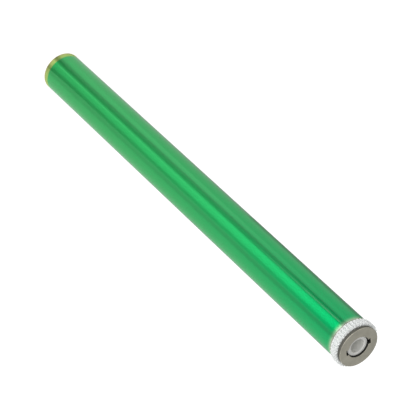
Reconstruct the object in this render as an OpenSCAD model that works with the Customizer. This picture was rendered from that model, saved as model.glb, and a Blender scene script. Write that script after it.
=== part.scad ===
// Photoconductor drum unit of a wide-format printer.
// The drum stands on its plain end: the origin is the centre of that end's rim and
// +Z runs along the shaft axis towards the gear end. All sizes are in millimetres.

/* [Drum tube] */
// Length of the aluminium tube
tube_len = 354.6; // [250:0.1:420]
// Outside diameter over the coating
tube_od = 30; // [29:0.1:31]
// Wall of the tube under the coating
tube_wall = 0.8; // [0.6:0.05:1.2]
// Thickness of the coating
coat_t = 0.05; // [0.02:0.01:0.1]
// Width of the uncoated band at the plain end
plain_band_w = 4.2; // [2:0.1:12]
// Width of the uncoated band at the gear end
gear_band_w = 1.7; // [0.5:0.1:8]
// Chamfer on the four rim edges of the tube
tube_chamfer = 0.15; // [0.05:0.05:0.25]

/* [Gear] */
// Number of teeth
gear_teeth = 41; // [39:1:43]
// Module of the teeth
gear_module = 0.75; // [0.7:0.01:0.8]
// Pressure angle of the teeth
pressure_angle = 20; // [17:0.5:23]
// Face width of the teeth
gear_w = 5.1; // [4:0.1:12]
// Shoulder that seats on the tube's rim
shoulder_t = 1.1; // [0.4:0.1:3]
// Backlash cut from each tooth at the pitch circle
tooth_thinning = 0.1; // [0:0.02:0.2]

/* [Flanges] */
// Radial clearance of both plugs in the tube
plug_gap = 0.05; // [0.02:0.01:0.15]
// Depth to which the gear flange's plug enters the tube
gear_plug_len = 13; // [8:0.5:20]
// Length of the plain end's flange
end_flange_len = 14; // [10:0.5:24]
// Recess of the plain end's flange behind the tube's rim
end_recess = 0.8; // [0.3:0.1:4]
// Wall of the rings of both flanges
ring_wall = 1.8; // [1.2:0.1:2.4]
// Wall of both hubs round their bushes
hub_wall = 1.7; // [1.2:0.1:2]
// Thickness of both webs
web_t = 2.2; // [1.5:0.1:3]
// Thickness of the stiffening ribs
rib_t = 1.2; // [0.8:0.1:1.6]
// Number of ribs in each flange
rib_count = 6; // [4:1:8]
// Depth of the pocket that takes the drive dog
pocket_depth = 3.6; // [2.5:0.1:4.5]
// Radial clearance of that pocket round the face plate's notches
pocket_gap = 1.2; // [0.6:0.1:1.6]

/* [Drive plate and cushion] */
// Diameter of the sheet-metal face plate
plate_od = 28.6; // [26:0.1:29]
// Thickness of the face plate
plate_t = 0.5; // [0.3:0.05:1]
// Chamfer on the face plate's outer edge
plate_chamfer = 0.2; // [0.05:0.05:0.25]
// Radial clearance of the face plate's hole round the front bush
key_gap = 0.3; // [0.2:0.05:1]
// Width of the two notches in the hole
notch_w = 4.2; // [3:0.1:6]
// Depth of each notch beyond the hole
notch_depth = 1.6; // [1.2:0.1:2.2]
// Thickness of the dark cushion ring
cushion_t = 2; // [1:0.1:3]
// Step from the face plate's edge in to the cushion's edge
cushion_step = 0.1; // [0:0.05:0.5]
// Clearance of the cushion's keyed opening round that of the plate
cushion_relief = 0.1; // [0:0.05:0.3]

/* [Bushes] */
// Bore of both shaft bushes
bush_bore_d = 10; // [9:0.1:12]
// Wall of both shaft bushes
bush_wall = 2.35; // [1.6:0.05:2.6]
// Radial clearance of a bush in its hub
bush_gap = 0.05; // [0.02:0.01:0.1]
// Radial reach of the stop collar beyond the sleeve
collar_reach = 1.1; // [0.6:0.1:1.5]
// Thickness of the stop collar
collar_t = 1; // [0.6:0.1:1.5]
// Recess of the front bush behind the back of the face plate
front_bush_recess = 0.65; // [0.1:0.05:1]
// Chamfer round the front bush's nose
nose_chamfer = 0.5; // [0.2:0.05:0.8]
// Lead-in chamfer at the mouths of both bores
bore_chamfer = 0.3; // [0.1:0.05:0.4]

/* [Earth plate] */
// Thickness of the spring sheet
earth_t = 0.3; // [0.2:0.05:0.5]
// Radial distance from the tube's wall in to its ring
earth_ring_inset = 2.45; // [2:0.05:2.8]
// Width of its ring
earth_ring_w = 2.6; // [2.4:0.1:3]
// Number of claws that reach for the tube's wall
claw_count = 4; // [3:1:8]
// Width of a claw at its root
claw_w = 3; // [2:0.1:4]
// Gap between a claw's tip and the tube's wall
claw_gap = 0.05; // [0.02:0.01:0.2]
// Width of the two arms that rub on the shaft
arm_w = 1.5; // [1:0.1:1.8]
// Diameter of the two stakes that hold the plate
stake_d = 1.4; // [1:0.1:1.6]
// Radial clearance of a stake in the plate
stake_gap = 0.1; // [0.05:0.05:0.2]
// Height of a stake's domed head
stake_head_h = 0.6; // [0.4:0.1:1]

/* [Damping sleeve] */
// Length of the split sleeve
sleeve_len = 90; // [40:1:150]
// Wall of the split sleeve
sleeve_wall = 2.5; // [1.5:0.1:4]
// Width of the split
split_w = 5; // [3:0.5:12]
// Radial clearance of the sleeve in the tube
sleeve_gap = 0.05; // [0.02:0.01:0.2]

/* [Hidden] */
$fn = 96;

// Tube radii
tube_or = tube_od / 2;
bare_or = tube_or - coat_t;
tube_ir = bare_or - tube_wall;
plug_r = tube_ir - plug_gap;
ring_ir = plug_r - ring_wall;
plug_lead = ring_wall / 3;

// Stations along the axis at the gear end
z_gear_back = tube_len + shoulder_t;
z_gear_front = z_gear_back + gear_w;
z_plate_back = z_gear_front + cushion_t;
z_plate_front = z_plate_back + plate_t;
z_front_seat = z_gear_front - pocket_depth;
z_plug_end = tube_len - gear_plug_len;

// Stations along the axis at the plain end
z_end_seat = end_recess + collar_t;
z_end_top = end_recess + end_flange_len;
rib_setback = 2;

// Bushes and their seats
bore_r = bush_bore_d / 2;
bush_or = bore_r + bush_wall;
seat_r = bush_or + bush_gap;
hub_or = seat_r + hub_wall;
key_r = bush_or + key_gap;
notch_reach = key_r + notch_depth;
pocket_r = notch_reach + pocket_gap;
front_nose_len = z_plate_back - front_bush_recess - z_front_seat - collar_t;
front_seat_len = z_front_seat - z_plug_end;
end_seat_len = z_end_top - z_end_seat;

// Gear circles
pitch_r = gear_teeth * gear_module / 2;
base_r = pitch_r * cos(pressure_angle);
tip_r = pitch_r + gear_module;
root_r = pitch_r - 1.25 * gear_module;
flank_steps = 4;

// Radii of the earth plate
earth_ring_or = tube_ir - earth_ring_inset;
earth_ring_ir = earth_ring_or - earth_ring_w;
stake_r = stake_d / 2;
stake_circle_r = (earth_ring_or + earth_ring_ir) / 2;
stake_head_r = 2 * stake_r;
arm_reach = 5;

// Overlap with which a cut passes through what it cuts
cut = 1;

// Roll angle, in degrees, at which an involute leaves the circle of radius r
function roll_at(r) = r <= base_r ? 0 : sqrt(pow(r / base_r, 2) - 1) * 180 / PI;

// Angle between the involute's start and its point on the circle of radius r
function involute_angle(r) = roll_at(r) - (r <= base_r ? 0 : acos(base_r / r));

// Half the angle that a tooth covers on the circle of radius r
function half_tooth(r) =
    90 / gear_teeth
    - asin(tooth_thinning / 2 / pitch_r)
    + involute_angle(pitch_r)
    - involute_angle(r);

// A point of the plane at radius r and angle a
function polar(r, a) = [r * cos(a), r * sin(a)];

// Radii at which the flank is sampled, from root to tip
flank_radii = [for (i = [0:flank_steps]) root_r + (tip_r - root_r) * i / flank_steps];

// Outline of tooth number i: up one flank and down the other
function tooth_points(i) =
    let (mid = i * 360 / gear_teeth)
    concat(
        [for (r = flank_radii) polar(r, mid - half_tooth(r))],
        [for (k = [flank_steps:-1:0]) polar(flank_radii[k], mid + half_tooth(flank_radii[k]))]
    );

gear_outline = [for (i = [0:gear_teeth - 1]) each tooth_points(i)];

// Thin aluminium tube: the coated stretch stands proud of the bare band at each end
module drum_tube() {
    color([0.13, 0.66, 0.38])
        rotate_extrude()
            polygon([
                [tube_ir, tube_chamfer],
                [tube_ir + tube_chamfer, 0],
                [bare_or - tube_chamfer, 0],
                [bare_or, tube_chamfer],
                [bare_or, plain_band_w],
                [tube_or, plain_band_w + coat_t],
                [tube_or, tube_len - gear_band_w - coat_t],
                [bare_or, tube_len - gear_band_w],
                [bare_or, tube_len - tube_chamfer],
                [bare_or - tube_chamfer, tube_len],
                [tube_ir + tube_chamfer, tube_len],
                [tube_ir, tube_len - tube_chamfer]
            ]);
}

// Radial ribs between a hub and a ring, from height z0 to z1, rooted in both
module ribs(z0, z1) {
    rib_len = ring_ir - hub_or + ring_wall;
    for (i = [0:rib_count - 1])
        rotate([0, 0, (i + 0.5) * 360 / rib_count])
            translate([hub_or - hub_wall / 2, -rib_t / 2, z0])
                cube([rib_len, rib_t, z1 - z0]);
}

// White moulding: plug, shoulder, spur teeth, drive pocket, web, ribs and hub
module gear_flange() {
    color([0.93, 0.93, 0.92]) {
        rotate_extrude()
            polygon([
                [ring_ir, z_plug_end],
                [plug_r - plug_lead, z_plug_end],
                [plug_r, z_plug_end + plug_lead],
                [plug_r, tube_len],
                [tube_or, tube_len],
                [tube_or, z_gear_back],
                [root_r, z_gear_back],
                [root_r, z_gear_front],
                [pocket_r, z_gear_front],
                [pocket_r, z_front_seat],
                [seat_r, z_front_seat],
                [seat_r, z_plug_end],
                [hub_or, z_plug_end],
                [hub_or, z_front_seat - web_t],
                [ring_ir, z_front_seat - web_t]
            ]);
        translate([0, 0, z_gear_back])
            linear_extrude(gear_w)
                difference() {
                    polygon(gear_outline);
                    circle(r = (pocket_r + root_r) / 2);
                }
        ribs(z_plug_end + rib_setback, z_front_seat - web_t / 2);
    }
}

// Keyed opening: a round hole with two opposite notches along X, grown by the relief
module key_opening(relief) {
    circle(r = key_r + relief);
    square([2 * (notch_reach + relief), notch_w + 2 * relief], center = true);
}

// Sheet-metal disc that carries the drive, with a light chamfer on its front edge
module face_plate() {
    plate_r = plate_od / 2;
    color([0.58, 0.57, 0.54])
        difference() {
            rotate_extrude()
                polygon([
                    [0, z_plate_back],
                    [plate_r, z_plate_back],
                    [plate_r, z_plate_front - plate_chamfer],
                    [plate_r - plate_chamfer, z_plate_front],
                    [0, z_plate_front]
                ]);
            translate([0, 0, z_plate_back - cut])
                linear_extrude(plate_t + 2 * cut)
                    key_opening(0);
        }
}

// Dark ring that cushions the drive between the face plate and the toothed rim
module cushion_ring() {
    color([0.22, 0.22, 0.21])
        translate([0, 0, z_gear_front])
            linear_extrude(cushion_t)
                difference() {
                    circle(r = plate_od / 2 - cushion_step);
                    key_opening(cushion_relief);
                }
}

// Shaft bush with its collar's seat at height 0: the sleeve enters the hub below
// and the nose stands out above the collar
module bush(seat_len, nose_len) {
    z_top = collar_t + nose_len;
    rotate_extrude()
        polygon([
            [bore_r, bore_chamfer - seat_len],
            [bore_r + bore_chamfer, -seat_len],
            [bush_or, -seat_len],
            [bush_or, 0],
            [bush_or + collar_reach, 0],
            [bush_or + collar_reach, collar_t],
            if (nose_len > 0) [bush_or, collar_t],
            if (nose_len > 0) [bush_or, z_top - nose_chamfer],
            if (nose_len > 0) [bush_or - nose_chamfer, z_top],
            [bore_r + bore_chamfer, z_top],
            [bore_r, z_top - bore_chamfer]
        ]);
}

// White sleeve that shows inside the keyed hole
module front_bush() {
    color([0.86, 0.86, 0.84])
        translate([0, 0, z_front_seat])
            bush(front_seat_len, front_nose_len);
}

// The same bush at the plain end, with its collar outwards and no nose
module end_bush() {
    color([0.86, 0.86, 0.84])
        translate([0, 0, z_end_seat])
            mirror([0, 0, 1])
                bush(end_seat_len, 0);
}

// A stake rooted in the web, with the domed head that clamps the earth plate
module stake() {
    rotate_extrude()
        polygon([
            [0, -web_t / 2],
            [stake_r, -web_t / 2],
            [stake_r, earth_t],
            [stake_head_r, earth_t],
            [stake_head_r, earth_t + stake_head_h / 3],
            [stake_r, earth_t + stake_head_h],
            [0, earth_t + stake_head_h]
        ]);
}

// Places its children at the two stakes
module at_stakes() {
    for (side = [-1, 1])
        translate([side * stake_circle_r, 0, 0])
            children();
}

// Ribbed plug in the plain end, open outwards, with its web on the inner side
module end_flange() {
    color([0.30, 0.31, 0.32]) {
        rotate_extrude()
            polygon([
                [ring_ir, end_recess],
                [plug_r, end_recess],
                [plug_r, z_end_top - plug_lead],
                [plug_r - plug_lead, z_end_top],
                [seat_r, z_end_top],
                [seat_r, z_end_seat],
                [hub_or, z_end_seat],
                [hub_or, z_end_top - web_t],
                [ring_ir, z_end_top - web_t]
            ]);
        ribs(end_recess + rib_setback, z_end_top - web_t / 2);
        translate([0, 0, z_end_top])
            at_stakes()
                stake();
    }
}

// Claw that tapers from the ring to its blunt tip near the tube's wall
module claw() {
    tip_w = claw_w / 3;
    tip_x = tube_ir - claw_gap;
    root_x = earth_ring_or - earth_ring_w / 2;
    polygon([
        [root_x, -claw_w / 2],
        [earth_ring_or, -claw_w / 2],
        [tip_x, -tip_w / 2],
        [tip_x, tip_w / 2],
        [earth_ring_or, claw_w / 2],
        [root_x, claw_w / 2]
    ]);
}

// Arm that starts on the ring and passes the shaft at its side
module contact_arm() {
    translate([bore_r, -stake_circle_r])
        square([arm_w, stake_circle_r + arm_reach]);
}

// Spring sheet that earths the tube to the shaft
module earth_plate() {
    color([0.72, 0.55, 0.30])
        translate([0, 0, z_end_top])
            linear_extrude(earth_t)
                difference() {
                    union() {
                        difference() {
                            circle(r = earth_ring_or);
                            circle(r = earth_ring_ir);
                        }
                        for (i = [0:claw_count - 1])
                            rotate([0, 0, (i + 0.5) * 360 / claw_count])
                                claw();
                        for (turn = [0, 180])
                            rotate([0, 0, turn])
                                contact_arm();
                    }
                    at_stakes()
                        circle(r = stake_r + stake_gap);
                }
}

// Split sleeve that springs open against the inside of the tube at mid length
module damping_sleeve() {
    sleeve_or = tube_ir - sleeve_gap;
    color([0.35, 0.35, 0.36])
        translate([0, 0, (tube_len - sleeve_len) / 2])
            linear_extrude(sleeve_len)
                difference() {
                    circle(r = sleeve_or);
                    circle(r = sleeve_or - sleeve_wall);
                    translate([0, -split_w / 2])
                        square([sleeve_or + cut, split_w]);
                }
}

drum_tube();
gear_flange();
face_plate();
cushion_ring();
front_bush();
damping_sleeve();
end_flange();
end_bush();
earth_plate();
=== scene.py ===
"""Looks of the printer drum unit: its pieces, their finishes, the floor, the light and the camera."""

import logging
import math
from dataclasses import dataclass
from enum import Enum

import bmesh
import bpy
from mathutils import Matrix, Vector


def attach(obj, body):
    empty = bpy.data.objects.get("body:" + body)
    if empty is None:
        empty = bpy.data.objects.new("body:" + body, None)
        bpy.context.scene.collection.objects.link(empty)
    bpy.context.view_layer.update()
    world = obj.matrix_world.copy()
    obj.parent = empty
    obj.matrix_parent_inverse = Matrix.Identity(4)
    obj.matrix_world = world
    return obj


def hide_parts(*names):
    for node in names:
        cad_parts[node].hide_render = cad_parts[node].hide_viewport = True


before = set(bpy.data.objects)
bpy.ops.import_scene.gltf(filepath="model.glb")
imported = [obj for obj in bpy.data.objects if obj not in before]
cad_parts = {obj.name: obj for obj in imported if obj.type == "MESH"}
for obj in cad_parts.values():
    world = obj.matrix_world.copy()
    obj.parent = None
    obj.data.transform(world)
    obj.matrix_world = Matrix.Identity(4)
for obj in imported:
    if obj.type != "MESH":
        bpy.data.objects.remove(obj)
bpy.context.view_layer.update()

MM = 0.001
log = logging.getLogger("printer_drum_unit")


class Grain(Enum):
    """How the making of a piece has marked its surface."""

    TURNED = "fine rings round the axis, left by the lathe"
    MOULDED = "the spark-eroded speckle of a mould"
    ROLLED = "short streaks along X, left by the rolling mill"
    FOAMED = "the open pores of a cut foam or rubber sheet"


def linear(hex_colour: str) -> tuple[float, float, float, float]:
    """Turns an sRGB colour into the linear values that a shader takes.

    Args:
        hex_colour: six hex digits, as in "8fa0b1".

    Returns:
        Linear red, green and blue, and an alpha of 1.
    """
    parts = [int(hex_colour[i : i + 2], 16) / 255 for i in (0, 2, 4)]
    red, green, blue = (
        p / 12.92 if p <= 0.04045 else ((p + 0.055) / 1.055) ** 2.4 for p in parts
    )
    return red, green, blue, 1.0


def add_node(
    tree: bpy.types.NodeTree, kind: str, inputs: dict | None = None, **settings: object
) -> bpy.types.Node:
    """Adds one shader node.

    Args:
        tree: the node tree that gets it.
        kind: the node's type name.
        inputs: socket name or number to a value, or to the output that feeds it.
        settings: the node's own properties.

    Returns:
        The new node.
    """
    made = tree.nodes.new(kind)
    for name, value in settings.items():
        setattr(made, name, value)
    for key, value in (inputs or {}).items():
        if isinstance(value, bpy.types.NodeSocket):
            tree.links.new(value, made.inputs[key])
        else:
            made.inputs[key].default_value = value
    return made


@dataclass(frozen=True)
class Finish:
    """A material: what the real one is, and how its surface was made.

    The colour drifts slowly between `colour` and `shade`, and the grain gives it its
    fine relief and an uneven gloss.
    """

    name: str
    colour: str
    shade: str
    roughness: float
    grain: Grain
    grain_mm: float
    relief_mm: float
    metallic: float = 0.0
    ior: float = 1.48
    gloss_spread: float = 0.06
    drift_mm: float = 12.0
    # Painted shade and painted highlight by a face's slope: shares for upright faces, broken edges
    # and faces turned up.
    painted_slope_shares: tuple[float, float, float] = (1.0, 1.0, 1.0)
    glow_depth_mm: float = 0.0
    # Painted shade on everything within this radius, deep in the opening.
    recess_shade_r_mm: float = 0.0
    # Painted light at the roots of the gear's teeth and painted shade at their tips: the radii and
    # the shares there.
    tooth_light_and_shade_r_mm: tuple[float, float] = (0.0, 0.0)
    tooth_light_and_shade_shares: tuple[float, float] = (1.0, 1.0)

    def surface(self) -> bpy.types.Material:
        """Builds the material, or finds the one built before."""
        found = bpy.data.materials.get(self.name)
        if found:
            return found
        made = bpy.data.materials.new(self.name)
        made.use_nodes = True
        tree = made.node_tree
        tree.nodes.clear()
        shader = add_node(tree, "ShaderNodeBsdfPrincipled")
        self.dress(tree, shader)
        add_node(
            tree, "ShaderNodeOutputMaterial", {"Surface": shader.outputs["BSDF"]}
        )
        made.diffuse_color = linear(self.colour)
        return made

    def place(self, tree: bpy.types.NodeTree) -> bpy.types.NodeSocket:
        """Gives the coordinates on which every pattern lies: metres from the origin."""
        return add_node(tree, "ShaderNodeTexCoord").outputs["Object"]

    def grain_height(
        self, tree: bpy.types.NodeTree, place: bpy.types.NodeSocket
    ) -> bpy.types.NodeSocket:
        """Draws the surface's fine pattern.

        Args:
            tree: the material's nodes.
            place: the coordinates.

        Returns:
            The pattern, from 0 to 1.
        """
        fine = 1 / (self.grain_mm * MM)
        stretch = {
            Grain.TURNED: (0.03 * fine, 0.03 * fine, fine),
            Grain.ROLLED: (0.05 * fine, fine, fine),
            Grain.MOULDED: (fine, fine, fine),
            Grain.FOAMED: (fine, fine, fine),
        }[self.grain]
        laid = add_node(
            tree, "ShaderNodeMapping", {"Vector": place, "Scale": stretch}
        )
        if self.grain is Grain.FOAMED:
            cells = add_node(
                tree,
                "ShaderNodeTexVoronoi",
                {"Vector": laid.outputs["Vector"], "Scale": 1.0},
                feature="SMOOTH_F1",
            )
            return cells.outputs["Distance"]
        speckle = add_node(
            tree,
            "ShaderNodeTexNoise",
            {"Vector": laid.outputs["Vector"], "Scale": 1.0, "Detail": 3.0},
        )
        return speckle.outputs["Fac"]

    def dress(self, tree: bpy.types.NodeTree, shader: bpy.types.Node) -> None:
        """Sets the shader's colour, gloss and relief.

        Args:
            tree: the material's nodes.
            shader: its principled shader.
        """
        place = self.place(tree)
        height = self.grain_height(tree, place)
        drift = add_node(
            tree,
            "ShaderNodeTexNoise",
            {"Vector": place, "Scale": 1 / (self.drift_mm * MM), "Detail": 2.0},
        )
        tint = add_node(
            tree,
            "ShaderNodeMix",
            {
                "Factor": drift.outputs["Fac"],
                "A": linear(self.colour),
                "B": linear(self.shade),
            },
            data_type="RGBA",
        )
        gloss = add_node(
            tree,
            "ShaderNodeMapRange",
            {
                "Value": height,
                "To Min": self.roughness - self.gloss_spread,
                "To Max": self.roughness + self.gloss_spread,
            },
        )
        relief = add_node(
            tree,
            "ShaderNodeBump",
            {"Height": height, "Strength": 1.0, "Distance": self.relief_mm * MM},
        )
        tint = self.painted_light_and_shade(tree, place, tint.outputs["Result"])
        tree.links.new(tint, shader.inputs["Base Color"])
        tree.links.new(gloss.outputs["Result"], shader.inputs["Roughness"])
        tree.links.new(relief.outputs["Normal"], shader.inputs["Normal"])
        shader.inputs["Metallic"].default_value = self.metallic
        if not self.metallic:
            shader.inputs["IOR"].default_value = self.ior
        if self.glow_depth_mm:
            shader.inputs["Subsurface Weight"].default_value = 1.0
            shader.inputs["Subsurface Radius"].default_value = (1.0, 1.0, 1.0)
            shader.inputs["Subsurface Scale"].default_value = (
                self.glow_depth_mm * MM
            )

    def painted_light_and_shade(
        self,
        tree: bpy.types.NodeTree,
        place: bpy.types.NodeSocket,
        tint: bpy.types.NodeSocket,
    ) -> bpy.types.NodeSocket:
        """Paints light and shade into the colour: by a face's slope, across the gear's teeth and in
        the opening.

        The slope shares are painted shade and painted highlight: the shares of the colour that
        upright faces, broken edges and faces turned up keep.

        Args:
            tree: the material's nodes.
            place: the coordinates.
            tint: the colour so far.

        Returns:
            The colour with its painted light and shade.
        """
        # Painted shade and painted highlight by a face's slope.
        if self.painted_slope_shares != (1.0, 1.0, 1.0):
            facing = add_node(tree, "ShaderNodeTexCoord").outputs["Normal"]
            up = add_node(tree, "ShaderNodeSeparateXYZ", {"Vector": facing})
            upright, edge, top = self.painted_slope_shares
            for first, last, start, end in (
                (0.15, 0.35, upright, edge),
                (0.88, 0.98, 1.0, top / edge),
            ):
                share = add_node(
                    tree,
                    "ShaderNodeMapRange",
                    {
                        "Value": up.outputs["Z"],
                        "From Min": first,
                        "From Max": last,
                        "To Min": start,
                        "To Max": end,
                    },
                )
                tint = self.dimmed(tree, tint, share.outputs["Result"])
        # Painted light at the tooth roots and painted shade at the tooth tips, by distance from the
        # axis.
        if self.tooth_light_and_shade_r_mm != (0.0, 0.0):
            share = add_node(
                tree,
                "ShaderNodeMapRange",
                {
                    "Value": self.axis_distance(tree, place),
                    "From Min": self.tooth_light_and_shade_r_mm[0] * MM,
                    "From Max": self.tooth_light_and_shade_r_mm[1] * MM,
                    "To Min": self.tooth_light_and_shade_shares[0],
                    "To Max": self.tooth_light_and_shade_shares[1],
                },
            )
            tint = self.dimmed(tree, tint, share.outputs["Result"])
        # Painted shade within this radius, fading out over half a millimetre beyond it.
        if self.recess_shade_r_mm:
            share = add_node(
                tree,
                "ShaderNodeMapRange",
                {
                    "Value": self.axis_distance(tree, place),
                    "From Min": self.recess_shade_r_mm * MM,
                    "From Max": (self.recess_shade_r_mm + 0.5) * MM,
                    "To Min": 0.2,
                    "To Max": 1.0,
                },
            )
            tint = self.dimmed(tree, tint, share.outputs["Result"])
        return tint

    def axis_distance(
        self, tree: bpy.types.NodeTree, place: bpy.types.NodeSocket
    ) -> bpy.types.NodeSocket:
        """Gives the distance from the drum's axis, in metres."""
        across = add_node(
            tree,
            "ShaderNodeVectorMath",
            {0: place, 1: (1.0, 1.0, 0.0)},
            operation="MULTIPLY",
        )
        radius = add_node(
            tree,
            "ShaderNodeVectorMath",
            {0: across.outputs["Vector"]},
            operation="LENGTH",
        )
        return radius.outputs["Value"]

    def dimmed(
        self,
        tree: bpy.types.NodeTree,
        tint: bpy.types.NodeSocket,
        share: bpy.types.NodeSocket,
    ) -> bpy.types.NodeSocket:
        """Multiplies a colour by a share from 0 to 1."""
        made = add_node(
            tree,
            "ShaderNodeVectorMath",
            {0: tint, "Scale": share},
            operation="SCALE",
        )
        return made.outputs["Vector"]


@dataclass(frozen=True)
class PhotoconductorFinish(Finish):
    """Aluminium turned on a lathe, dipped in a green photoconductor under a clear film.

    To the eye it is a deep saturated green. The rings of the turning spread every
    light along the tube into one long streak, and the clear film pales the green where
    the surface turns away. Inside and at both ends the aluminium is bare.
    """

    coat_from: float = 4.2
    coat_to: float = 352.9
    wall_middle_r: float = 14.5
    foot_colour: str = "38c46a"
    bare: str = "bfdb7d"
    bare_rim: str = "cac784"
    bare_inside: str = "b9bbb8"
    rim_to: float = 1.5
    gear_band: str = "c0d8bc"
    thin_from: float = 349.8
    thin_to: float = 353.9
    # Painted shadow of the gear's back edge on the bare band: its colour and the height where it
    # starts.
    painted_gear_shadow: str = "a4ab92"
    painted_gear_shadow_from: float = 354.1

    def step(
        self,
        tree: bpy.types.NodeTree,
        value: bpy.types.NodeSocket,
        at: float,
        width: float,
    ) -> bpy.types.NodeSocket:
        """Draws a soft step.

        Args:
            tree: the material's nodes.
            value: the length that is stepped, in metres.
            at: where the step lies, in millimetres.
            width: how wide its slope is, in millimetres.

        Returns:
            0 below the step and 1 above it.
        """
        made = add_node(
            tree,
            "ShaderNodeMapRange",
            {
                "Value": value,
                "From Min": (at - width / 2) * MM,
                "From Max": (at + width / 2) * MM,
            },
            interpolation_type="SMOOTHSTEP",
        )
        return made.outputs["Result"]

    def dress(self, tree: bpy.types.NodeTree, shader: bpy.types.Node) -> None:
        """Sets the shader of the coated stretch, the bare bands and the inside.

        Args:
            tree: the material's nodes.
            shader: its principled shader.
        """
        place = self.place(tree)
        height = self.grain_height(tree, place)
        split = add_node(tree, "ShaderNodeSeparateXYZ", {"Vector": place})
        flat = add_node(
            tree,
            "ShaderNodeCombineXYZ",
            {"X": split.outputs["X"], "Y": split.outputs["Y"]},
        )
        radius = add_node(
            tree,
            "ShaderNodeVectorMath",
            {0: flat.outputs["Vector"]},
            operation="LENGTH",
        )
        along = split.outputs["Z"]
        above = self.step(tree, along, self.coat_from + 0.4, 1.7)
        beyond = self.step(tree, along, self.coat_to, 0.15)
        outside = self.step(tree, radius.outputs["Value"], self.wall_middle_r, 0.1)
        rim = self.step(tree, along, self.rim_to, 0.8)
        within = add_node(
            tree, "ShaderNodeMath", {0: above, 1: beyond}, operation="SUBTRACT"
        )
        coated = add_node(
            tree,
            "ShaderNodeMath",
            {0: within.outputs["Value"], 1: outside},
            operation="MULTIPLY",
        ).outputs["Value"]
        height_share = add_node(
            tree,
            "ShaderNodeMapRange",
            {"Value": along, "From Max": self.coat_to * MM},
        )
        gathered = add_node(
            tree,
            "ShaderNodeMath",
            {0: height_share.outputs["Result"], 1: 2.4},
            operation="POWER",
        )
        pulled = add_node(
            tree,
            "ShaderNodeMix",
            {
                "Factor": gathered.outputs["Value"],
                "A": linear(self.foot_colour),
                "B": linear(self.colour),
            },
            data_type="RGBA",
        )
        edge_share = add_node(
            tree,
            "ShaderNodeMapRange",
            {
                "Value": along,
                "From Min": self.thin_from * MM,
                "From Max": self.thin_to * MM,
            },
        )
        thinner = add_node(
            tree,
            "ShaderNodeMath",
            {0: edge_share.outputs["Result"], 1: 3.0},
            operation="POWER",
        )
        green = add_node(
            tree,
            "ShaderNodeMix",
            {
                "Factor": thinner.outputs["Value"],
                "A": pulled.outputs["Result"],
                "B": linear(self.gear_band),
            },
            data_type="RGBA",
        )
        foot_band = add_node(
            tree,
            "ShaderNodeMix",
            {"Factor": rim, "A": linear(self.bare_rim), "B": linear(self.bare)},
            data_type="RGBA",
        )
        band = add_node(
            tree,
            "ShaderNodeMix",
            {
                "Factor": beyond,
                "A": foot_band.outputs["Result"],
                "B": green.outputs["Result"],
            },
            data_type="RGBA",
        )
        # Painted shadow of the gear's back edge on the band.
        shaded = self.step(tree, along, self.painted_gear_shadow_from, 0.4)
        band = add_node(
            tree,
            "ShaderNodeMix",
            {
                "Factor": shaded,
                "A": band.outputs["Result"],
                "B": linear(self.painted_gear_shadow),
            },
            data_type="RGBA",
        )
        metal = add_node(
            tree,
            "ShaderNodeMix",
            {
                "Factor": outside,
                "A": linear(self.bare_inside),
                "B": band.outputs["Result"],
            },
            data_type="RGBA",
        )
        tint = add_node(
            tree,
            "ShaderNodeMix",
            {
                "Factor": coated,
                "A": metal.outputs["Result"],
                "B": green.outputs["Result"],
            },
            data_type="RGBA",
        )
        gloss = add_node(
            tree,
            "ShaderNodeMapRange",
            {
                "Value": height,
                "To Min": self.roughness - self.gloss_spread,
                "To Max": self.roughness + self.gloss_spread,
            },
        )
        lathe = add_node(
            tree, "ShaderNodeTangent", direction_type="RADIAL", axis="Z"
        )
        tree.links.new(tint.outputs["Result"], shader.inputs["Base Color"])
        tree.links.new(gloss.outputs["Result"], shader.inputs["Roughness"])
        tree.links.new(lathe.outputs["Tangent"], shader.inputs["Tangent"])
        tree.links.new(coated, shader.inputs["Coat Weight"])
        shader.inputs["Metallic"].default_value = 1.0
        shader.inputs["Anisotropic"].default_value = 1.0
        shader.inputs["Anisotropic Rotation"].default_value = 0.25
        shader.inputs["Coat Roughness"].default_value = 0.05
        shader.inputs["Coat IOR"].default_value = 1.38


# Acetal, injection moulded: opaque white with a waxy satin. Faces turned up carry painted shade, the
# teeth painted light at their roots and painted shade at their tips.
WHITE_ACETAL = Finish(
    "injection_moulded_acetal",
    "edf0ee",
    "e7eae9",
    0.42,
    Grain.MOULDED,
    0.25,
    0.001,
    painted_slope_shares=(1.0, 1.0, 0.79),
    glow_depth_mm=3.0,
    tooth_light_and_shade_r_mm=(14.5, 16.1),
    tooth_light_and_shade_shares=(1.05, 0.91),
)
# The shaft bushes' own moulding: a duller, greyer white, smoother in the bore. Faces turned up carry
# painted shade.
BUSH_RESIN = Finish(
    "moulded_bush_nylon",
    "f0f0ec",
    "e8e8e3",
    0.36,
    Grain.MOULDED,
    0.3,
    0.003,
    painted_slope_shares=(1.0, 1.0, 0.7),
)
# Cold-rolled steel sheet with a dull plating: a warm mid grey with fine rolling marks. Upright faces
# carry painted shade and broken edges a painted highlight.
GREY_STEEL = Finish(
    "plated_steel_sheet",
    "88867b",
    "a8a598",
    0.5,
    Grain.ROLLED,
    0.35,
    0.003,
    metallic=1.0,
    gloss_spread=0.08,
    drift_mm=6.0,
    painted_slope_shares=(0.45, 1.5, 1.0),
)
# Cut rubber sheet: nearly black, with fine pores and no gloss. What lies deep in the opening carries
# painted shade.
DARK_RUBBER = Finish(
    "cut_rubber_sheet",
    "56554d",
    "5f5e56",
    0.8,
    Grain.FOAMED,
    0.4,
    0.02,
    ior=1.52,
    recess_shade_r_mm=9.8,
)
# Glass-filled resin of the hidden flange: dark grey, with a slightly silky skin.
FLANGE_RESIN = Finish(
    "glass_filled_resin", "4a4c4e", "414345", 0.48, Grain.MOULDED, 0.3, 0.006
)
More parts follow.
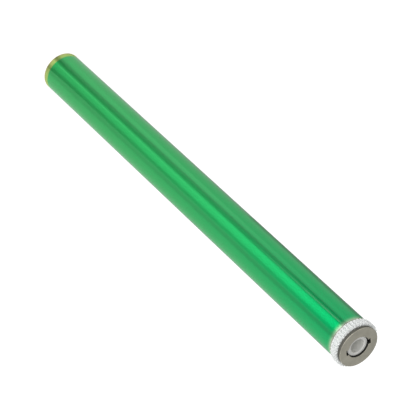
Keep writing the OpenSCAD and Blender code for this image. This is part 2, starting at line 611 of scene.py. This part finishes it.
# Extruded resin of the damping sleeve: darker and matter, with lines along its length.
SLEEVE_RESIN = Finish(
    "extruded_resin", "59595b", "515153", 0.6, Grain.MOULDED, 0.5, 0.006
)
# Rolled spring bronze: bright, warm, with fine lines from the mill.
SPRING_BRONZE = Finish(
    "rolled_spring_bronze",
    "c99b5c",
    "bd8c4d",
    0.28,
    Grain.ROLLED,
    0.2,
    0.002,
    metallic=1.0,
)
# The drum's own finish; see its class.
PHOTOCONDUCTOR = PhotoconductorFinish(
    "photoconductor_on_turned_aluminium",
    "00bb6c",
    "1fae5e",
    0.38,
    Grain.TURNED,
    0.5,
    0.0,
    gloss_spread=0.004,
    drift_mm=30.0,
)


def finish_mesh(
    form: bmesh.types.BMesh, name: str, flat_faces: bool = True
) -> bpy.types.Object:
    """Turns a bmesh into a shaded object that stands at the world's origin.

    Args:
        form: the shape, in metres; it is freed.
        name: the piece's name.
        flat_faces: whether flat faces keep one normal beside their bevels.

    Returns:
        The new object.
    """
    mesh = bpy.data.meshes.new(name)
    form.to_mesh(mesh)
    form.free()
    mesh.polygons.foreach_set("use_smooth", [True] * len(mesh.polygons))
    mesh.set_sharp_from_angle(angle=math.radians(35))
    made = bpy.data.objects.new(name, mesh)
    bpy.context.scene.collection.objects.link(made)
    if flat_faces:
        weighted = made.modifiers.new("flat faces stay flat", "WEIGHTED_NORMAL")
        weighted.keep_sharp = True
    return made


def turned(
    name: str, profile: list[tuple[float, float]], steps: int, edge_mm: float
) -> bpy.types.Object:
    """Turns a closed profile once round Z and breaks its edges.

    Args:
        name: the piece's name.
        profile: radius and height of each corner, in millimetres.
        steps: the number of steps round the axis.
        edge_mm: the width of the broken edges, or 0 for none.

    Returns:
        The new object.
    """
    form = bmesh.new()
    corners = [form.verts.new((r * MM, 0.0, z * MM)) for r, z in profile]
    loop = [
        form.edges.new((corner, corners[(i + 1) % len(corners)]))
        for i, corner in enumerate(corners)
    ]
    bmesh.ops.spin(
        form,
        geom=corners + loop,
        cent=(0, 0, 0),
        axis=(0, 0, 1),
        angle=2 * math.pi,
        steps=steps,
        use_merge=True,
    )
    bmesh.ops.remove_doubles(form, verts=form.verts, dist=0.001 * MM)
    bmesh.ops.recalc_face_normals(form, faces=form.faces)
    break_edges(form, edge_mm)
    return finish_mesh(form, name)


def break_edges(form: bmesh.types.BMesh, edge_mm: float, least: float = 40.0) -> None:
    """Rounds every edge that is sharper than an angle.

    Args:
        form: the shape.
        edge_mm: the width of the rounding, or 0 for none.
        least: the least angle between two faces whose edge is rounded, in degrees.
    """
    if not edge_mm:
        return
    sharp = [
        edge
        for edge in form.edges
        if edge.is_manifold and edge.calc_face_angle(0.0) > math.radians(least)
    ]
    bmesh.ops.bevel(
        form,
        geom=sharp,
        offset=edge_mm * MM,
        offset_type="OFFSET",
        affect="EDGES",
        segments=2,
        profile=0.5,
        material=-1,
        clamp_overlap=True,
    )


def refined(node: str, name: str, edge_mm: float) -> bpy.types.Object:
    """Copies a CAD node, merges its triangles into plain faces and breaks its edges.

    Args:
        node: the CAD node.
        name: the piece's name.
        edge_mm: the width of the broken edges.

    Returns:
        The new object, which stands in for the node.
    """
    form = bmesh.new()
    form.from_mesh(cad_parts[node].data)
    bmesh.ops.remove_doubles(form, verts=form.verts, dist=0.002 * MM)
    bmesh.ops.dissolve_limit(
        form,
        angle_limit=math.radians(0.5),
        verts=form.verts,
        edges=form.edges,
        delimit=set(),
    )
    bmesh.ops.recalc_face_normals(form, faces=form.faces)
    break_edges(form, edge_mm)
    return finish_mesh(form, name)


def install(
    piece: bpy.types.Object, node: str, finish: Finish
) -> bpy.types.Object:
    """Dresses a piece and lets it stand for its CAD node.

    Args:
        piece: the piece, in place.
        node: the CAD node that it stands for.
        finish: its material.

    Returns:
        The piece.
    """
    piece.data.materials.clear()
    piece.data.materials.append(finish.surface())
    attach(piece, "root")
    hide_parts(node)
    log.info("%s: %d faces, %s", piece.name, len(piece.data.polygons), finish.name)
    return piece


@dataclass
class DrumTube:
    """The coated tube, with its bare bands. Sizes in millimetres."""

    length: float = 354.6
    coated_r: float = 15.0
    coat: float = 0.05
    wall: float = 0.8
    plain_band: float = 4.2
    gear_band: float = 1.7
    chamfer: float = 0.15
    steps: int = 256

    def profile(self) -> list[tuple[float, float]]:
        """Gives the corners of the wall's section, inside first."""
        bare_r = self.coated_r - self.coat
        inner_r = bare_r - self.wall
        top = self.length
        return [
            (inner_r, self.chamfer),
            (inner_r + self.chamfer, 0.0),
            (bare_r - self.chamfer, 0.0),
            (bare_r, self.chamfer),
            (bare_r, self.plain_band),
            (self.coated_r, self.plain_band + self.coat),
            (self.coated_r, top - self.gear_band - self.coat),
            (bare_r, top - self.gear_band),
            (bare_r, top - self.chamfer),
            (bare_r - self.chamfer, top),
            (inner_r + self.chamfer, top),
            (inner_r, top - self.chamfer),
        ]

    def build(self) -> None:
        """Builds the tube and dresses it."""
        tube = turned("coated_tube", self.profile(), self.steps, 0.0)
        install(tube, "drum_tube", PHOTOCONDUCTOR)


@dataclass
class ShaftBush:
    """A bush with a stop collar, made for one end. Sizes in millimetres."""

    bore_r: float = 5.0
    wall: float = 2.35
    collar_reach: float = 1.1
    collar: float = 1.0
    lead_in: float = 0.3
    nose_chamfer: float = 0.5
    edge: float = 0.08
    steps: int = 128

    def profile(
        self, seat: float, foot: float, nose: float, side: int
    ) -> list[tuple[float, float]]:
        """Gives the corners of the bush's section.

        Args:
            seat: height of the collar's seat.
            foot: height of the end that lies in the hub.
            nose: height of the other end.
            side: 1 where the nose points up, -1 where it points down.

        Returns:
            Radius and height of each corner.
        """
        outer_r = self.bore_r + self.wall
        collar_r = outer_r + self.collar_reach
        collar_top = seat + side * self.collar
        corners = [
            (self.bore_r, foot + side * self.lead_in),
            (self.bore_r + self.lead_in, foot),
            (outer_r, foot),
            (outer_r, seat),
            (collar_r, seat),
            (collar_r, collar_top),
        ]
        if abs(nose - collar_top) > 0.01:
            corners += [
                (outer_r, collar_top),
                (outer_r, nose - side * self.nose_chamfer),
                (outer_r - self.nose_chamfer, nose),
            ]
        return corners + [
            (self.bore_r + self.lead_in, nose),
            (self.bore_r, nose - side * self.lead_in),
        ]


@dataclass
class GearEnd:
    """Toothed flange, cushion, face plate and bush. Sizes in millimetres."""

    bush: ShaftBush
    seat: float = 357.2
    plug_end: float = 341.6
    nose: float = 362.15
    tooth_edge: float = 0.05
    sheet_edge: float = 0.16
    rubber_edge: float = 0.1

    def build(self) -> None:
        """Builds the four pieces and dresses them."""
        install(
            refined("gear_flange", "toothed_flange", self.tooth_edge),
            "gear_flange",
            WHITE_ACETAL,
        )
        install(
            refined("cushion_ring", "cushion", self.rubber_edge),
            "cushion_ring",
            DARK_RUBBER,
        )
        install(
            refined("face_plate", "keyed_plate", self.sheet_edge),
            "face_plate",
            GREY_STEEL,
        )
        section = self.bush.profile(self.seat, self.plug_end, self.nose, 1)
        install(
            turned("gear_end_bush", section, self.bush.steps, self.bush.edge),
            "front_bush",
            BUSH_RESIN,
        )


@dataclass
class PlainEnd:
    """Ribbed flange, bush and earth plate. Sizes in millimetres."""

    bush: ShaftBush
    seat: float = 1.8
    plug_end: float = 14.8
    mouth: float = 0.8
    moulded_edge: float = 0.12
    sheet_edge: float = 0.04

    def build(self) -> None:
        """Builds the three pieces and dresses them."""
        install(
            refined("end_flange", "ribbed_flange", self.moulded_edge),
            "end_flange",
            FLANGE_RESIN,
        )
        section = self.bush.profile(self.seat, self.plug_end, self.mouth, -1)
        install(
            turned("plain_end_bush", section, self.bush.steps, self.bush.edge),
            "end_bush",
            BUSH_RESIN,
        )
        install(
            refined("earth_plate", "earthing_spring", self.sheet_edge),
            "earth_plate",
            SPRING_BRONZE,
        )


@dataclass
class DampingSleeve:
    """Split sleeve inside the tube."""

    edge: float = 0.2

    def build(self) -> None:
        """Builds the sleeve and dresses it."""
        install(
            refined("damping_sleeve", "split_sleeve", self.edge),
            "damping_sleeve",
            SLEEVE_RESIN,
        )


@dataclass(frozen=True)
class SoftLight:
    """One rectangular lamp that the camera doesn't see.

    Its place is given by its bearing from the camera's, seen from the drum's axis, by
    its height over the floor and by its distance from the axis. Lengths are in metres.
    """

    name: str
    bearing: float
    height: float
    distance: float
    width: float
    tall: float
    power: float
    aim_height: float = 0.2
    lights_matt: bool = False
    lights_gloss: bool = True


@dataclass(frozen=True)
class Card:
    """A card bent round the drum, which only the drum's gloss sees.

    It is swept round the axis from a straight edge, which runs from one radius and
    height to another. Lengths are in metres, and the bearing of its middle is taken
    from the camera's. Its brightness is given at the edge's start and at its end.
    """

    name: str
    bearing: float
    span: float
    start: tuple[float, float]
    end: tuple[float, float]
    start_glow: float
    end_glow: float
    dims_matt: bool = False


@dataclass
class Studio:
    """Floor, light and camera. Lengths in metres, angles in degrees."""

    camera_place: tuple[float, float, float] = (-0.46747, 0.84946, 1.05908)
    camera_right: tuple[float, float, float] = (0.83111, -0.09774, 0.54746)
    camera_up: tuple[float, float, float] = (0.42371, 0.74890, -0.50953)
    camera_back: tuple[float, float, float] = (-0.36019, 0.65543, 0.66383)
    lens: float = 167.05
    camera_bearing: float = 118.8
    floor_radius: float = 30.0
    floor_glow: float = 0.85
    overhead_share: float = 0.85
    lights: tuple[SoftLight, ...] = (
        SoftLight("streak lamp", -8.0, 0.42, 0.75, 0.24, 0.4, 1.52),
        SoftLight("side lamp", 8.5, 0.42, 0.75, 0.2, 0.4, 1.12),
        SoftLight("fill lamp", 22.0, 0.5, 1.2, 0.6, 0.6, 1.6, 0.35, True, False),
    )
    cards: tuple[Card, ...] = (
        Card("dark card", 0.0, 60.0, (0.016, -0.01), (1.5, -0.01), 0.15, 0.1),
        Card("thin strip", -9.0, 3.0, (0.03, -0.008), (0.26, -0.008), 0.9, 0.4),
        Card("upper thin strip", -26.0, 6.0, (0.33, -0.008), (0.5, -0.008), 0.4, 2.6),
        Card("right floor card", -55.0, 26.0, (0.016, -0.012), (0.24, -0.012), 0.64, 0.95),
        Card("right floor fade", -55.0, 26.0, (0.24, -0.012), (0.7, -0.012), 0.95, 0.55),
        Card("foot card", 180.0, 250.0, (0.01, -0.02), (0.3, -0.02), 0.62, 0.5),
        Card("right flag", -33.0, 6.0, (0.6, -0.7), (0.6, -0.17), 0.3, 0.3),
        Card("upper right flag", -37.5, 7.0, (0.6, -0.17), (0.6, 0.9), 0.1, 0.1),
        Card("left strip", 24.0, 12.0, (0.6, -0.7), (0.6, 0.9), 2.1, 0.9),
        Card("left flag", 42.0, 14.0, (0.6, -0.7), (0.6, 0.9), 0.68, 0.6),
        Card("left card", 85.0, 80.0, (1.2, 0.0), (1.2, 1.6), 1.5, 1.5),
        Card("right card", -72.0, 48.0, (1.2, 0.0), (1.2, 1.6), 1.2, 1.2),
        Card("rear flag", -148.0, 56.0, (0.3, -0.02), (0.3, 0.45), 0.3, 0.3),
        Card("back card", -140.0, 60.0, (1.2, -0.4), (1.2, 1.6), 0.5, 0.5),
        Card("left matt flag", 110.0, 90.0, (1.2, 0.0), (1.2, 1.6), 0.1, 0.1, True),
        Card("right matt flag", -95.0, 110.0, (1.2, 0.0), (1.2, 1.6), 0.1, 0.1, True),
    )

    def camera(self) -> None:
        """Places the camera where the photograph was taken from."""
        data = bpy.data.cameras.new("camera")
        data.lens = self.lens
        data.sensor_width = 36.0
        data.clip_start = 0.05
        data.clip_end = 100.0
        made = bpy.data.objects.new("camera", data)
        turn = Matrix((self.camera_right, self.camera_up, self.camera_back))
        made.matrix_world = (
            Matrix.Translation(self.camera_place) @ turn.transposed().to_4x4()
        )
        bpy.context.scene.collection.objects.link(made)
        bpy.context.scene.camera = made

    def floor(self) -> None:
        """Lays a pale matt floor that the drum's gloss doesn't mirror."""
        form = bmesh.new()
        bmesh.ops.create_circle(
            form, cap_ends=True, radius=self.floor_radius, segments=64
        )
        mesh = bpy.data.meshes.new("floor")
        form.to_mesh(mesh)
        form.free()
        made = bpy.data.objects.new("floor", mesh)
        made.visible_glossy = False
        made.visible_shadow = False
        bpy.context.scene.collection.objects.link(made)
        paper = bpy.data.materials.new("white_paper")
        paper.use_nodes = True
        paper.cycles.emission_sampling = "NONE"
        shader = paper.node_tree.nodes["Principled BSDF"]
        shader.inputs["Base Color"].default_value = linear("a8a8a8")
        shader.inputs["Roughness"].default_value = 0.9
        shader.inputs["Specular IOR Level"].default_value = 0.0
        shader.inputs["Emission Color"].default_value = (1, 1, 1, 1)
        shader.inputs["Emission Strength"].default_value = self.floor_glow
        mesh.materials.append(paper)

    def sky(self) -> None:
        """Surrounds the drum with even white light, darker where only gloss looks."""
        world = bpy.data.worlds.new("white room")
        world.use_nodes = True
        tree = world.node_tree
        tree.nodes.clear()
        place = add_node(tree, "ShaderNodeTexCoord").outputs["Generated"]
        split = add_node(tree, "ShaderNodeSeparateXYZ", {"Vector": place})
        level = add_node(
            tree,
            "ShaderNodeMapRange",
            {
                "Value": split.outputs["Z"],
                "From Min": -0.30,
                "From Max": -0.05,
                "To Min": 0.55,
                "To Max": 1.05,
            },
            interpolation_type="SMOOTHSTEP",
        )
        overhead = add_node(
            tree,
            "ShaderNodeMapRange",
            {
                "Value": split.outputs["Z"],
                "From Min": 0.25,
                "From Max": 0.85,
                "To Min": 1.0,
                "To Max": self.overhead_share,
            },
            interpolation_type="SMOOTHSTEP",
        )
        strength = add_node(
            tree,
            "ShaderNodeMath",
            {0: level.outputs["Result"], 1: overhead.outputs["Result"]},
            operation="MULTIPLY",
        )
        shine = add_node(
            tree,
            "ShaderNodeBackground",
            {"Color": (1, 1, 1, 1), "Strength": strength.outputs["Value"]},
        )
        add_node(
            tree,
            "ShaderNodeOutputWorld",
            {"Surface": shine.outputs["Background"]},
        )
        bpy.context.scene.world = world

    def hang(self, light: SoftLight) -> None:
        """Hangs one lamp, turned to the drum.

        Args:
            light: the lamp.
        """
        data = bpy.data.lights.new(light.name, "AREA")
        data.shape = "RECTANGLE"
        data.size = light.width
        data.size_y = light.tall
        data.energy = light.power
        made = bpy.data.objects.new(light.name, data)
        bearing = math.radians(self.camera_bearing + light.bearing)
        place = Vector(
            (
                light.distance * math.cos(bearing),
                light.distance * math.sin(bearing),
                light.height,
            )
        )
        aim = Vector((0, 0, light.aim_height)) - place
        made.rotation_mode = "QUATERNION"
        made.rotation_quaternion = aim.to_track_quat("-Z", "Y")
        made.location = place
        made.visible_camera = False
        made.visible_diffuse = light.lights_matt
        made.visible_glossy = light.lights_gloss
        bpy.context.scene.collection.objects.link(made)

    def bend(self, card: Card) -> None:
        """Sweeps one card round the drum.

        Args:
            card: the card.
        """
        form = bmesh.new()
        ends = [form.verts.new((r, 0.0, z)) for r, z in (card.start, card.end)]
        edge = form.edges.new(ends)
        first = self.camera_bearing + card.bearing - card.span / 2
        bmesh.ops.rotate(
            form,
            verts=form.verts,
            cent=(0, 0, 0),
            matrix=Matrix.Rotation(math.radians(first), 3, "Z"),
        )
        bmesh.ops.spin(
            form,
            geom=ends + [edge],
            cent=(0, 0, 0),
            axis=(0, 0, 1),
            angle=math.radians(card.span),
            steps=24,
            use_merge=False,
        )
        mesh = bpy.data.meshes.new(card.name)
        form.to_mesh(mesh)
        form.free()
        made = bpy.data.objects.new(card.name, mesh)
        made.visible_camera = False
        made.visible_diffuse = card.dims_matt
        made.visible_glossy = not card.dims_matt
        made.visible_shadow = False
        bpy.context.scene.collection.objects.link(made)
        paint = bpy.data.materials.new(card.name)
        paint.use_nodes = True
        paint.cycles.emission_sampling = "NONE"
        tree = paint.node_tree
        tree.nodes.clear()
        place = add_node(tree, "ShaderNodeTexCoord").outputs["Object"]
        split = add_node(tree, "ShaderNodeSeparateXYZ", {"Vector": place})
        flat = add_node(
            tree,
            "ShaderNodeCombineXYZ",
            {"X": split.outputs["X"], "Y": split.outputs["Y"]},
        )
        radius = add_node(
            tree,
            "ShaderNodeVectorMath",
            {0: flat.outputs["Vector"]},
            operation="LENGTH",
        )
        level_card = card.start[1] != card.end[1]
        glow = add_node(
            tree,
            "ShaderNodeMapRange",
            {
                "Value": split.outputs["Z"] if level_card else radius.outputs["Value"],
                "From Min": card.start[1] if level_card else card.start[0],
                "From Max": card.end[1] if level_card else card.end[0],
                "To Min": card.start_glow,
                "To Max": card.end_glow,
            },
        )
        shine = add_node(
            tree, "ShaderNodeEmission", {"Strength": glow.outputs["Result"]}
        )
        add_node(
            tree,
            "ShaderNodeOutputMaterial",
            {"Surface": shine.outputs["Emission"]},
        )
        mesh.materials.append(paint)

    def build(self) -> None:
        """Sets the whole studio up."""
        settings = bpy.context.scene.view_settings
        settings.view_transform = "Standard"
        settings.look = "None"
        self.floor()
        self.sky()
        for light in self.lights:
            self.hang(light)
        for card in self.cards:
            self.bend(card)
        self.camera()


def main() -> None:
    """Builds the drum unit and its studio."""
    logging.basicConfig(level=logging.INFO, format="%(message)s")
    bush = ShaftBush()
    DrumTube().build()
    GearEnd(bush).build()
    PlainEnd(bush).build()
    DampingSleeve().build()
    Studio().build()
    bpy.context.view_layer.update()


if __name__ == "__main__":
    main()
